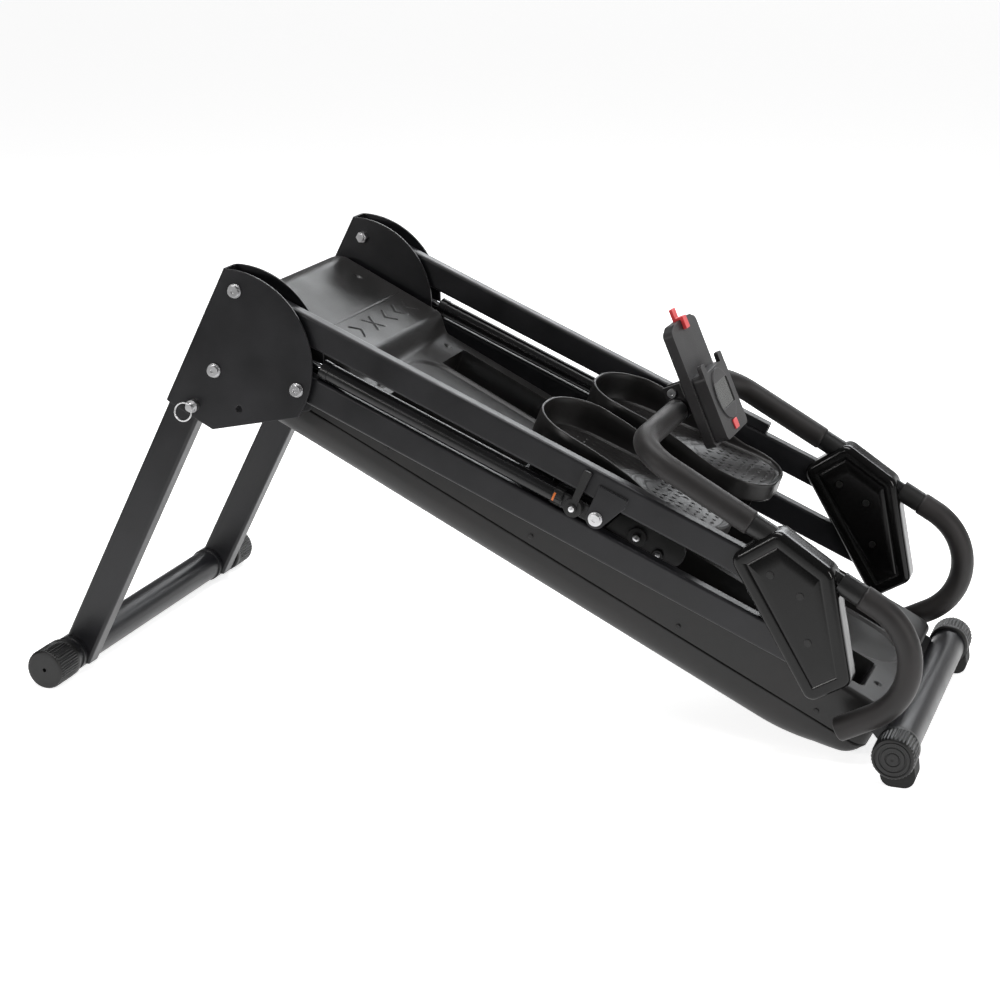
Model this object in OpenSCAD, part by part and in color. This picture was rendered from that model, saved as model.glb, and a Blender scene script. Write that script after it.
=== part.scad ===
// Folding glider cross trainer: an inclined tray on a folding rear stand, two pedals that
// slide along it in turn, and a pair of parallelogram arms that carry the handlebar.
// X runs along the machine towards its low front end, Y across it, and Z up.
// Left is the side at -Y, the left hand of a user who faces the hinge plates.

/* [Arms] */
// Distance between the two pivots of each arm rail
arm_length = 820; // [800:5:840]
// Fall of the arm rails below the horizontal when they are down
arm_slope = 23.2; // [22.6:0.1:23.8]
// Distance from the middle of the machine to each arm
arm_y = 215; // [213:1:218]
// Depth of an arm rail
rail_depth = 40; // [36:1:42]
// Width of an arm rail
rail_width = 20; // [18:1:20]
// Radius of the gas damper barrels
barrel_r = 13; // [12:0.25:13]

/* [Tray] */
// Fall of the tray below the horizontal
tray_slope = 26.5; // [26:0.1:27]
// Distance from the middle of the machine to the tray's side wall
tray_half = 178; // [176:1:180]
// Depth of the tray under its deck
tray_depth = 122; // [116:1:124]
// Wall thickness of the moulded covers
cover_wall = 3; // [2:0.5:3.5]

/* [Stand] */
// Lean of the rear legs above the horizontal
leg_lean = 62.7; // [62.4:0.1:63.2]
// Width of a leg tube seen from the side
leg_depth = 50; // [46:1:54]
// Radius of the two floor tubes
floor_tube_r = 25; // [23:0.5:26]
// Distance from the middle of the machine to the rear caps' faces
rear_half = 307; // [300:1:310]
// Distance from the middle of the machine to the front caps' faces
front_half = 242; // [238:1:246]

/* [Pedals] */
// Length of a pedal
pedal_length = 308; // [300:1:312]
// Width of a pedal
pedal_width = 158; // [150:1:160]
// Height of the toe cup above the footbed
toe_height = 44; // [36:1:46]

/* [Handlebar] */
// Radius of the handlebar tube
bar_r = 11; // [10:0.5:11]
// Radius of the foam grips
foam_r = 17; // [15:0.5:17.5]
// Radius of the two end bends
end_bend_r = 89; // [87:1:91]

/* [Hidden] */
$fn = 64;
gap = 0.3;                     // clearance between parts that move past each other
fit = 0.1;                     // radial clearance of a shaft in its bore
bolt_r = 5;                    // pivot bolts, M10
skin = 3;                      // thickness of the hinge plates

// Pivot places, each [x, z]
upper_pivot = [-318.5, 606];
lower_pivot = [-229.5, 472.5];
leg_pivot = [-356.5, 490];
rear_axis = [-623.5, 30];
front_axis = [623.5, 44];
damper_foot = [-253.5, 524.5];   // rod end, between the hinge plate's cheeks
damper_head = [205, 329];    // barrel end, under the upper rail
head_upper = along(upper_pivot, arm_length, -arm_slope);
head_lower = along(lower_pivot, arm_length, -arm_slope);
lock_radius = 64;                // lock holes, measured from the leg pivot
lock_angle = 236.8;              // hole in use
lock_hole = along(leg_pivot, lock_radius, lock_angle);
fold_angle = 67.8;               // turn of the legs to the second hole
damper_slope = atan2(damper_foot[1] - damper_head[1], damper_head[0] - damper_foot[0]);
damper_length = norm(damper_foot - damper_head);

plate_out = arm_y + 20;          // outer cheek face
plate_in = arm_y - 20;           // inner cheek face
plate_centre = [-333, 508];      // centre of the plates' round edge
plate_radius = 128;
plate_edge = 49;                 // leg pivot to the plates' closed edge

tray_origin = [-150.5, 459];     // on the deck, at the foot of the ramp
tray_start = -250;
tray_end = 841;
ramp_height = 24;
seam = -66;                      // joint between the deck cover and the lower shell
belly_r = 300;                   // bend of the lower shell towards the floor
floor_gap = 8;                   // lower shell above the floor
well_start = 20;
well_end = 795;
well_near = 62;
well_far = 148;
guide_y = 105;
guide_level = -30;
guide_r = 8;
belt_level = -74;
belt_y = 40;
pulley_high = 150;
pulley_low = 720;

pedal_y = 96;
pedal_offset = 9.3;              // the left pedal rests this much above mid travel
pedal_pin = [271.4, 43];         // toe hinge in the tray's frame, at mid travel
pedal_back = 40;                 // toe end to the hinge
pedal_drop = 16;                 // footbed to the hinge
left_pedal_slope = 21.5;
right_pedal_slope = 18;
block_start = 350;               // sliding block on the guide rod
block_end = 500;
block_half = 30;
frame_half = 60;                 // carriage side frames, measured from the pedal's middle

bar_corner = [256.5, 431];       // crossbar axis
bar_slope = 29.1;
bar_run = 357;                   // crossbar to the outer end of the right-hand collar
collar_start = 184.6;            // crossbar to the outer end of the left-hand collar
bend_start = 24.5;               // straight tube past the collars
bend_turn = 122.6;
tail = 52;                       // straight tube after the end bend
corner_r = 55;                   // bends between the legs and the crossbar
console_tilt = 23;
collar_r = 15.5;                 // collars between the foam and the end covers
collar_length = 34;
slide_fit = 0.02;                // parts of one body that sit in each other
cross_r = 15;                    // tube that carries the hinge plates
beam_in = 150;                   // inner face of the two side beams

// ---- helpers

function along(p, r, a) = [p[0] + r * cos(a), p[1] + r * sin(a)];

belly_centre = [tray_origin[0] + (belly_r - tray_depth - (floor_gap + belly_r - tray_origin[1])
    * cos(tray_slope)) / sin(tray_slope), floor_gap + belly_r];

// Corner b of the path a-b-c, replaced by an arc of radius r.
function arc_corner(a, b, c, r, n) =
    let (u = (a - b) / norm(a - b), v = (c - b) / norm(c - b),
        half = acos(u * v) / 2, mid = b + (u + v) / norm(u + v) * r / sin(half),
        p = b + u * r / tan(half), q = b + v * r / tan(half),
        s = atan2(p[1] - mid[1], p[0] - mid[0]), e = atan2(q[1] - mid[1], q[0] - mid[0]),
        turn = (e - s + 540) % 360 - 180)
    [for (i = [0:n]) mid + r * [cos(s + turn * i / n), sin(s + turn * i / n)]];

// Closed outline with every corner rounded by its own radius.
function soft(points, radii, n = 6) = let (m = len(points)) [for (i = [0:m - 1])
    each arc_corner(points[(i + m - 1) % m], points[i], points[(i + 1) % m], radii[i], n)];

module at(p, y = 0) translate([p[0], y, p[1]]) children();
module fall(a) rotate([0, a, 0]) children();
module slab(y_low, y_high) translate([0, y_high, 0]) rotate([90, 0, 0])
    linear_extrude(y_high - y_low) children();
module rod_y(p, r, y_low, y_high) at(p, y_low) rotate([-90, 0, 0])
    cylinder(r = r, h = y_high - y_low);
module rod_x(r, x_low, x_high) translate([x_low, 0, 0]) rotate([0, 90, 0])
    cylinder(r = r, h = x_high - x_low);
module both() { children(); mirror([0, 1, 0]) children(); }
module in_tray() at(tray_origin) fall(tray_slope) children();

module round_rect(w, h, r) {
    square([w - 2 * r, h], center = true);
    square([w, h - 2 * r], center = true);
    for (x = [-1, 1], y = [-1, 1])
        translate([x * (w / 2 - r), y * (h / 2 - r)]) circle(r);
}

// Rectangular section along X: w across, h deep.
module bar_x(w, h, r, x_low, x_high) translate([x_low, 0, 0]) rotate([90, 0, 90])
    linear_extrude(x_high - x_low) round_rect(w, h, r);

// Dome-headed bolt with its washer, head towards -Y, shaft up to y_high.
module bolt(p, y_face, y_high, r) {
    rod_y(p, 2 * r, y_face - 1.5, y_face);
    difference() {
        rod_y(p, 1.6 * r, y_face - 1.5 - r, y_face - 1.5);
        at(p, y_face - 2 * r) rotate([-90, 0, 0]) cylinder(r = 0.6 * r, h = r, $fn = 6);
    }
    rod_y(p, r, y_face, y_high);
}

module nut(p, y_low, r) at(p, y_low) rotate([-90, 0, 0]) cylinder(r = 1.75 * r, h = 1.4 * r, $fn = 6);

// ---- tray, deck and chassis

// Lower shell: rounded troughs of falling slope, all tangent to one arc of radius belly_r.
module tray_block(inset, top) intersection() {
    for_slopes(inset);
    in_tray() translate([tray_start + inset, -tray_half, -2 * tray_depth])
        cube([tray_end - tray_start - 2 * inset, 2 * tray_half, 2 * tray_depth + top]);
}

module for_slopes(inset) intersection() {
    at(belly_centre) trough(inset);
    at(belly_centre) fall(tray_slope / 2) trough(inset);
    at(belly_centre) fall(tray_slope) trough(inset);
}

module trough(inset) translate([0, 0, 200 - belly_r])
    bar_x(2 * (tray_half - inset), 2 * (200 - inset), 40 - inset, -1200, 300);

module tray_shell() color("#1b1b1d") difference() {
    tray_block(0, seam);
    tray_block(cover_wall, seam + 5);
    cross_tube_hole();
    gusset_slots();
}

module cross_tube_hole() in_tray() translate([-150, -200, -45]) rotate([-90, 0, 0])
    cylinder(r = cross_r + gap, h = 400);

module deck_side(t) polygon(soft([[tray_start + t, seam - 1], [tray_start + t, ramp_height - 2 - t],
    [-48 - t / 4, ramp_height - t], [well_start - 40 - t / 2, -t], [tray_end - t, -t],
    [tray_end - t, seam - 1]], [0.5, 35 - t, 4, 4, 3, 0.5]));

module deck_cover() color("#26262a") difference() {
    in_tray() difference() {
        intersection() {
            slab(-tray_half, tray_half) deck_side(0);
            translate([-400, -300, seam + gap]) cube([1400, 600, 200]);
        }
        slab(-tray_half + cover_wall, tray_half - cover_wall) deck_side(cover_wall);
        both() {
            translate([well_start, -well_far, -20]) cube([well_end - well_start,
                well_far - well_near, 40]);
            translate([-176, -128, 0]) cylinder(r = 3.5, h = 60);
            translate([-2, -128, -20]) cylinder(r = 3.5, h = 40);
            translate([tray_end - 28, -115, -20]) cylinder(r = 3, h = 40);
        }
    }
    cross_tube_hole();
    gusset_slots();
}

// Welded frame inside the tray: two side beams, the tube that carries the hinge plates,
// the guide rod ends, the pulley straps and the gussets to the front floor tube.
module chassis() color("#2b2b2d") {
    both() in_tray() translate([0, -beam_in - 12, -45]) difference() {
        bar_x(24, 40, 3, tray_start + 40, tray_end - 12);
        bar_x(20, 36, 2, tray_start + 39, tray_end - 11);
        translate([-150, 0, 0]) rotate([90, 0, 0]) cylinder(r = cross_r, h = 60, center = true);
    }
    in_tray() {
        translate([-150, 0, -45]) difference() {
            rod_y([0, 0], cross_r, -plate_in, plate_in);
            rod_y([0, 0], cross_r - 2.5, -plate_in - 1, plate_in + 1);
        }
        for (x = [well_start - 12, well_end + 4]) difference() {
            translate([x, -beam_in, -58]) cube([10, 2 * beam_in, 42]);
            both() translate([x - 1, -guide_y, guide_level]) rotate([0, 90, 0])
                cylinder(r = guide_r + slide_fit, h = 12);
        }
        for (x = [pulley_high, pulley_low]) {
            difference() {
                translate([x - 20, -beam_in, belt_level - 17]) cube([40, 2 * beam_in, 4]);
                translate([x, 0, belt_level - 20]) cylinder(r = 6 + slide_fit, h = 12);
            }
            both() translate([x - 20, -beam_in, belt_level - 13]) cube([40, 4, 25]);
        }
    }
    both() difference() {
        slab(-164, -159) gusset();
        rod_y(front_axis, floor_tube_r + slide_fit, -200, 0);
    }
}

module gusset() polygon([[570, 58], [576, 80], [604, 64], [602, 34], [590, 34]]);
module gusset_slots() both() slab(-164.3, -158.7)
    polygon([[566, 54], [572, 84], [620, 84], [620, 30], [586, 30]]);

module guide_rods() color("silver") in_tray() both() translate([0, -guide_y, guide_level])
    rod_x(guide_r, well_start - 12, well_end + 14);

// Flat loop that joins the two carriages.
module drive_belt() color("#202022") in_tray() translate([0, 0, belt_level - 5]) difference() {
    belt_loop(belt_y + 1.5);
    translate([0, 0, -1]) belt_loop(belt_y - 0.5, 12);
}

module belt_loop(r, h = 10) {
    for (x = [pulley_high, pulley_low]) translate([x, 0, 0]) cylinder(r = r, h = h);
    translate([pulley_high, -r, 0]) cube([pulley_low - pulley_high, 2 * r, h]);
}

module pulley(x) color("#3a3a3d") in_tray() translate([x, 0, belt_level]) difference() {
    union() {
        translate([0, 0, -6]) cylinder(r = belt_y - 1, h = 12);
        translate([0, 0, -9]) cylinder(r = 14, h = 18);
    }
    translate([0, 0, -10]) cylinder(r = 6 + fit, h = 20);
    for (i = [0:5]) rotate(60 * i) translate([26, 0, -7]) cylinder(r = 7, h = 14);
}

module upper_pulley() pulley(pulley_high);
module lower_pulley() pulley(pulley_low);

module pulley_bolts() color("silver") in_tray() for (x = [pulley_high, pulley_low])
    translate([x, 0, belt_level]) {
        translate([0, 0, -22]) cylinder(r = 6, h = 34);
        translate([0, 0, 9 + gap]) cylinder(r = 10, h = 6, $fn = 6);
        translate([0, 0, -23]) cylinder(r = 10, h = 5.5, $fn = 6);
    }

// ---- hinge plates

module plate_outline() intersection() {
    translate(plate_centre) circle(plate_radius);
    polygon([[-460, 404], [-384, 399], [-100, 461.6], [-100, 700], [-460, 700]]);
}

// U-shaped plate: two cheeks joined along the edge that the leg rests against.
module hinge_plate() color("#1d1d1f") difference() {
    intersection() {
        slab(-plate_out, -plate_in) plate_outline();
        at(leg_pivot, -arm_y) rotate([0, -leg_lean, 0]) difference() {
            translate([0, 0, plate_edge - 150]) bar_x(40, 300, 6, -80, 200);
            translate([0, 0, plate_edge - 150 - skin]) bar_x(40 - 2 * skin, 300, 3, -81, 201);
        }
    }
    for (p = [upper_pivot, lower_pivot, leg_pivot]) rod_y(p, bolt_r + slide_fit, -plate_out - 1,
        -plate_in + 1);
    for (a = [lock_angle, lock_angle + fold_angle])
        rod_y(along(leg_pivot, lock_radius, a), 5.1, -plate_out - 1, -arm_y);
}

module left_hinge_plate() hinge_plate();
module right_hinge_plate() mirror([0, 1, 0]) hinge_plate();

module plate_bolts() color("silver") both() for (p = [upper_pivot, lower_pivot, leg_pivot]) {
    bolt(p, -plate_out, -plate_in + 10, bolt_r);
    nut(p, -plate_in, bolt_r);
}

// ---- front floor tube

module front_floor_tube() color("#242427") rod_ring(front_axis, floor_tube_r, 2.5,
    -front_half + 6, front_half - 6);

module rod_ring(p, r, wall, y_low, y_high) difference() {
    rod_y(p, r, y_low, y_high);
    rod_y(p, r - wall, y_low - 1, y_high + 1);
}

module cap(p, y_face, length) difference() {
    union() {
        rod_y(p, 30, y_face + 2, y_face + length);
        rod_y(p, 28.5, y_face, y_face + 2);
    }
    rod_y(p, floor_tube_r + slide_fit, y_face + 6, y_face + length + 1);
    rod_y(p, 2.5, y_face - 1, y_face + 7);
}

module front_caps() color("#151517") both() cap(front_axis, -front_half, 46);

// Rubber foot under each front cap, hollowed to the cap's radius.
module front_feet() color("#121212") both() difference() {
    slab(-front_half + 11, -front_half + 46) polygon(soft([[604, 0], [655, 0], [651, 32],
        [607, 32]], [16, 16, 2, 2]));
    rod_y(front_axis, 30 + slide_fit, -front_half, -front_half + 60);
}

module cover_screws() color("silver") {
    both() for (x = [60, 300, 540, 760]) in_tray() translate([x, -tray_half, seam + 12])
        rotate([90, 0, 0]) cylinder(r = 3.5, h = 1.6);
}

// ---- rear stand

module leg_frame() at(leg_pivot, -arm_y) rotate([0, -leg_lean, 0]) children();

module leg() color("#232326") {
    top = plate_edge - skin - 1;
    difference() {
        leg_frame() translate([0, 0, plate_edge - skin - 1 - leg_depth / 2]) difference() {
            bar_x(30, leg_depth, 5, -534, top);
            bar_x(26, leg_depth - 4, 3, -540, top - 3);
        }
        rod_y(rear_axis, 27 + slide_fit, -rear_half, 0);
        leg_frame() difference() {
            translate([0, -20, -70]) cube([80, 40, 140]);
            rotate([90, 0, 0]) cylinder(r = top, h = 60, center = true);
        }
        rod_y(leg_pivot, bolt_r + fit, -plate_out, -plate_in);
        rod_y(along(leg_pivot, lock_radius, lock_angle), 5.1, -plate_out, -arm_y);
    }
    difference() {
        rod_y(leg_pivot, 9, -arm_y - 13.05, -arm_y + 13.05);
        rod_y(leg_pivot, bolt_r + fit, -plate_out, -plate_in);
    }
}

module left_leg() leg();
module right_leg() mirror([0, 1, 0]) leg();

module rear_floor_tube() color("#242427") {
    rod_ring(rear_axis, floor_tube_r, 2.5, -rear_half + 6, rear_half - 6);
    both() difference() {
        rod_y(rear_axis, 27, -arm_y - 24, -arm_y + 24);
        rod_y(rear_axis, floor_tube_r - 0.5, -arm_y - 25, -arm_y + 25);
    }
}

module rear_caps() color("#151517") both() cap(rear_axis, -rear_half, 55);

// Spring plunger in the left plate, drawn with its tip just clear of the leg.
module lock_pin() color("silver") {
    difference() {
        rod_y(lock_hole, 5, -plate_out - 16, -arm_y - 15.4);
        ring_wire(1.3);
    }
    difference() {
        rod_y(lock_hole, 9, -plate_out - 8, -plate_out - gap);
        rod_y(lock_hole, 4.9, -plate_out - 9, -plate_out);
    }
}

// Split ring through the pin's cross hole.
module ring_wire(r) at(along(lock_hole, 13.2, 215), -plate_out - 12)
    rotate([78, 0, 0]) rotate_extrude() translate([13, 0]) circle(r);

module lock_pin_ring() color("silver") ring_wire(1.2);

// ---- arms

module upper_frame() at(upper_pivot, -arm_y) fall(arm_slope) children();
module lower_frame() at(lower_pivot, -arm_y) fall(arm_slope) children();

// Rail with a sleeve through each end; lift sets the tube off the pivot line.
module rail(lift, over) difference() {
    union() {
        translate([0, 0, lift]) difference() {
            bar_x(rail_width, rail_depth, 4, -18, arm_length + over);
            bar_x(rail_width - 4, rail_depth - 4, 2.5, -16, arm_length + over - 2);
        }
        for (x = [0, arm_length]) translate([x, -rail_width / 2 + 0.5, 0]) rotate([-90, 0, 0])
            cylinder(r = 8, h = rail_width - 1);
    }
    for (x = [0, arm_length]) translate([x, -30, 0]) rotate([-90, 0, 0])
        cylinder(r = bolt_r + fit, h = 60);
}

// Ears under the upper rail that hold the damper's barrel end.
module damper_ears() {
    ear = [arm_local(damper_head)[0], arm_local(damper_head)[1]];
    difference() {
        for (y = [-rail_width / 2 - 4, rail_width / 2]) slab(y, y + 4) union() {
            translate(ear) circle(14);
            polygon([ear + [-14, 0], ear + [-14, 45], ear + [30, 45], ear + [30, 32],
                ear + [12, -7]]);
        }
        rod_y(ear, bolt_r + slide_fit, -20, 20);
    }
}

function arm_local(p) = let (d = p - upper_pivot)
    [d[0] * cos(arm_slope) - d[1] * sin(arm_slope), d[0] * sin(arm_slope) + d[1] * cos(arm_slope)];

module upper_rail() color("#202023") upper_frame() { rail(-6, 14); damper_ears(); }
module left_upper_rail() upper_rail();
module right_upper_rail() mirror([0, 1, 0]) upper_rail();

module bush_pair() for (y = [-rail_width / 2 - 6.6, rail_width / 2]) difference() {
    rod_y([0, 0], 10, y, y + 6.6);
    rod_y([0, 0], bolt_r + fit, y - 1, y + 8);
}

module upper_rail_bushes() color("ivory") both() upper_frame() bush_pair();
module lower_rail_bushes() color("ivory") both() lower_frame() bush_pair();

// Channel on top of the right upper rail that catches the storage strap.
module storage_catch() color("#202023") mirror([0, 1, 0]) upper_frame()
    translate([700, 0, rail_depth / 2 + 2]) difference() {
        bar_x(rail_width - 2, 16, 2, -60, 0);
        bar_x(rail_width - 6, 12, 1, -61, 1);
    }

module damper_bolts() color("silver") both() {
    bolt(damper_head, -arm_y - rail_width / 2 - 4, -arm_y + 16, bolt_r);
    nut(damper_head, -arm_y + rail_width / 2 + 4, bolt_r);
}

module lower_rail() color("#202023") lower_frame() rail(4, 18);
module left_lower_rail() lower_rail();
module right_lower_rail() mirror([0, 1, 0]) lower_rail();

// ---- dampers; the frame's origin is the barrel end, and the barrel lies along -X

module damper_frame() at(damper_head, -arm_y) fall(damper_slope) children();

module barrel() color("#141416") damper_frame() difference() {
    union() {
        rod_x(barrel_r, -438, -52);
        rod_x(barrel_r + 1, -438, -426);
        bar_x(19, 24, 3, -54, 0);
        rod_y([0, 0], 12, -9.5, 9.5);
    }
    rod_x(barrel_r - 2, -430, -70);
    rod_x(5 + fit, -440, -400);
    rod_y([0, 0], bolt_r + fit, -20, 20);
    rod_y([-34, 0], 4.1, -20, 20);
    translate([-68.3, 0, 0]) difference() {
        rod_x(20, 0, 14.6);
        rod_x(barrel_r - 1, -1, 16);
    }
}
module left_barrel() barrel();
module right_barrel() mirror([0, 1, 0]) barrel();

module rod() color("silver") damper_frame() {
    rod_x(5, -damper_length + 6, -150);
    rod_x(barrel_r - 2 - fit, -165, -150);
    translate([-damper_length, 0, 0]) {
        rod_y([0, 0], 9, -7, 7);
        rod_y([0, 0], 4, -16.2, 16.2);
    }
}
module left_rod() rod();
module right_rod() mirror([0, 1, 0]) rod();

module dial() color("#19191b") damper_frame() difference() {
    rod_x(barrel_r + 1.2, -68, -54);
    rod_x(barrel_r - 1 + fit, -70, -50);
    for (i = [0:11]) rotate([30 * i, 0, 0]) translate([-69, -1, barrel_r + 0.6]) cube([16, 2, 3]);
}
module left_dial() dial();
module right_dial() mirror([0, 1, 0]) dial();

module valve_lever() color("#17171a") damper_frame() {
    difference() {
        union() {
            rod_y([-34, 0], 13, -18.5, -9.8);
            slab(-21, -16.5) polygon(soft([[-39, 2], [-40, 58], [-28, 59], [-30, 2]],
                [1, 3, 3, 1]));
        }
        rod_y([-34, 0], 4 + fit, -30, 0);
    }
    rod_y([-34, 0], 4, -21, 9.4);
    rod_y([-34, 0], 6.5, -24, -21);
}
module left_valve_lever() valve_lever();
module right_valve_lever() mirror([0, 1, 0]) valve_lever();

// ---- end heads

head_points = [[457, 342], [391, 297], [505, 103], [563, 138], [533, 292]];
head_radii = [16, 16, 15, 14, 22];

module head_outline(t) polygon(soft(inset_points(head_points, t), head_radii - [t, t, t, t, t]));

// Corners of a closed outline moved inwards by t on every side.
function inset_points(p, t) = let (m = len(p)) [for (i = [0:m - 1])
    let (a = p[(i + m - 1) % m], b = p[i], c = p[(i + 1) % m],
        u = (a - b) / norm(a - b), v = (c - b) / norm(c - b), half = acos(u * v) / 2)
    b + (u + v) / norm(u + v) * t / sin(half)];

// Region kept open for the two rails, on the side that faces the hinge plates.
module rail_mouth() polygon([[370, 345], [426, 327], [436, 300], [500, 160], [517, 96], [370, 96]]);

module head_shell(y_face, y_joint, face) {
    low = min(y_face, y_joint);
    high = max(y_face, y_joint);
    difference() {
        slab(low, high) head_outline(0);
        slab(y_face < y_joint ? low + face : low - 1, y_face < y_joint ? high + 1 : high - face)
            head_outline(3);
        slab(y_face < y_joint ? low + face : low - 1, y_face < y_joint ? high + 1 : high - face)
            rail_mouth();
        bar_frame() {
            rod_x(bar_r + slide_fit, collar_start - 60, bar_run + 60);
            rod_x(collar_r + slide_fit, collar_start - 60, collar_start + collar_length + 1);
            rod_x(collar_r + slide_fit, bar_run - collar_length - 1, bar_run + 60);
        }
    }
    bosses(y_face < y_joint ? low + face - 0.01 : high - face + 0.01, y_joint);
}

// Bosses that hold the hidden pivot pins.
module bosses(y_face, y_joint) for (p = [head_upper, head_lower]) difference() {
    rod_y(p, 9, min(y_face, y_face < y_joint ? y_face : -arm_y + rail_width / 2 + gap),
        max(y_face, y_face < y_joint ? -arm_y - rail_width / 2 - gap : y_face));
    rod_y(p, bolt_r + slide_fit, min(y_face, y_joint) + (y_face < y_joint ? 1.5 : -30),
        max(y_face, y_joint) + (y_face < y_joint ? 30 : -1.5));
}

module head_outer() color("#111113") head_shell(-arm_y - 21.5, -arm_y, 3);
module head_inner() color("#111113") head_shell(-arm_y + 21.5, -arm_y + slide_fit, 3);
module left_head_outer() head_outer();
module left_head_inner() head_inner();
module right_head_outer() mirror([0, 1, 0]) head_outer();
module right_head_inner() mirror([0, 1, 0]) head_inner();

head_screw_places = [[449.4, 279.6], [490.5, 254.8], [502.8, 191.2]];
module head_screws() color("#2a2a2c") both() for (p = head_screw_places) {
    rod_y(p, 5, -arm_y - 22.7, -arm_y - 21.5);
    rod_y(p, 5, -arm_y + 21.5, -arm_y + 22.7);
}

module head_pins() color("silver") both() for (p = [head_upper, head_lower])
    rod_y(p, bolt_r, -arm_y - 16.9, -arm_y + 16.9);

// ---- handlebar

// The left leg's frame: origin at the crossbar corner, X down the leg.
module bar_frame() at(bar_corner, -arm_y) fall(bar_slope) children();

module end_bend(r, r_in) bar_frame() translate([bar_run + bend_start, 0, -end_bend_r])
    rotate([90, 0, 0]) rotate(90 - bend_turn) rotate_extrude(angle = bend_turn)
        translate([end_bend_r, 0]) ring2(r, r_in);

module ring2(r, r_in) difference() {
    circle(r);
    if (r_in > 0) circle(r_in);
}

module straight(r, r_in, x_low, x_high) difference() {
    rod_x(r, x_low, x_high);
    if (r_in > 0) rod_x(r_in, x_low - 1, x_high + 1);
}

module open_end(r, r_in) bar_frame() translate([bar_run + bend_start, 0, -end_bend_r])
    fall(bend_turn) translate([0, 0, end_bend_r]) straight(r, r_in, 0, tail);

module corner_bend(r, r_in) bar_frame() translate([corner_r, corner_r, 0]) rotate(180)
    rotate_extrude(angle = 90) translate([corner_r, 0]) ring2(r, r_in);

module handlebar_tube() color("silver") {
    rod_y(bar_corner, bar_r, -arm_y + corner_r, arm_y - corner_r);
    both() {
        bar_frame() straight(bar_r, 0, corner_r, bar_run + bend_start);
        corner_bend(bar_r, 0);
        end_bend(bar_r, 0);
        open_end(bar_r, 0);
    }
}

module grip() color("#19191a") {
    bar_frame() straight(foam_r, bar_r + slide_fit, corner_r, collar_start);
    corner_bend(foam_r, bar_r + slide_fit);
    at(bar_corner) difference() {
        rod_y([0, 0], foam_r, -arm_y + corner_r, -20);
        rod_y([0, 0], bar_r + slide_fit, -arm_y, -19);
    }
}
module left_grip() grip();
module right_grip() mirror([0, 1, 0]) grip();

module end_grip() color("#19191a") {
    bar_frame() straight(foam_r, bar_r + slide_fit, bar_run, bar_run + bend_start);
    end_bend(foam_r, bar_r + slide_fit);
    open_end(foam_r, bar_r + slide_fit);
}
module left_end_grip() end_grip();
module right_end_grip() mirror([0, 1, 0]) end_grip();

module bar_collars() color("#161618") both() bar_frame() {
    straight(collar_r, bar_r + slide_fit, collar_start, collar_start + collar_length);
    straight(collar_r, bar_r + slide_fit, bar_run - collar_length, bar_run);
}

// ---- console; origin on the crossbar, X out of the display, Z up the display

module console_frame() at(bar_corner) rotate([0, -console_tilt, 0]) children();

module panel(w, z_low, z_high, r) polygon(soft([[-w, z_low], [w, z_low], [w, z_high],
    [-w, z_high]], [r, r, r, r]));
module out_x(x_low, x_high) translate([x_low, 0, 0]) rotate([90, 0, 90])
    linear_extrude(x_high - x_low) children();

// Ring on the crossbar with an arm to the back plate and two ears for the clamp screw.
module console_clamp() color("#1a1a1c") console_frame() difference() {
    union() {
        rod_y([0, 0], foam_r + 1, -14, 14);
        translate([10, -11, -12]) cube([24.6, 22, 24]);
        for (y = [-13, 8]) translate([-11, y, 8]) cube([26, 5, 27]);
    }
    rod_y([0, 0], bar_r + fit, -20, 20);
    rod_y([1, 25], 3.02, -20, 20);
}

module clamp_screw() color("silver") console_frame() difference() {
    union() {
        rod_y([1, 25], 3, -14, 16);
        rod_y([1, 25], 6.5, -18, -13);
    }
    translate([1, -19, 25]) rotate([-90, 0, 0]) cylinder(r = 2.6, h = 3, $fn = 6);
}

module console_back() color("#1b1b1d") console_frame() difference() {
    out_x(34.6, 49) polygon(soft([[-60, -61], [60, -61], [60, 110], [38, 118], [-38, 118],
        [-60, 110]], [10, 10, 9, 20, 20, 9]));
    translate([38, -8.3, 82]) cube([5.3, 16.6, 60]);
}

module console_front() color("#222225") console_frame() difference() {
    union() {
        out_x(49, 68) panel(54, -58, 40, 9);
        for (s = [-1, 1]) out_x(62, 68) translate([s * 44, 0]) panel(9, 30, 53, 4);
        translate([68, 0, 0]) rotate([0, 90, 0]) cylinder(r = 37, h = 1.6);
    }
    out_x(66.4, 80) panel(31.02, -19.02, 19.02, 2);
    out_x(57, 80) translate([0, -46]) panel(9.3, -7.3, 7.3, 2);
}

module console_screen() color("#8f978c") console_frame() out_x(66.4, 68.4)
    panel(31, -19, 19, 2);

module console_button() color("red") console_frame() out_x(60, 69.6)
    translate([0, -46]) panel(9, -7, 7, 2);

module phone_clip() color("red") console_frame() {
    translate([38.3, -8, 84]) cube([4.6, 16, 52]);
    translate([38.3, -8, 118.4]) cube([16, 16, 3.6]);
    translate([49.5, -8, 104]) cube([4.8, 16, 18]);
}

// ---- carriages and pedals

module pedal_tray(s) in_tray() translate([pedal_pin[0] + s * pedal_offset, -pedal_y, pedal_pin[1]])
    children();

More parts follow.
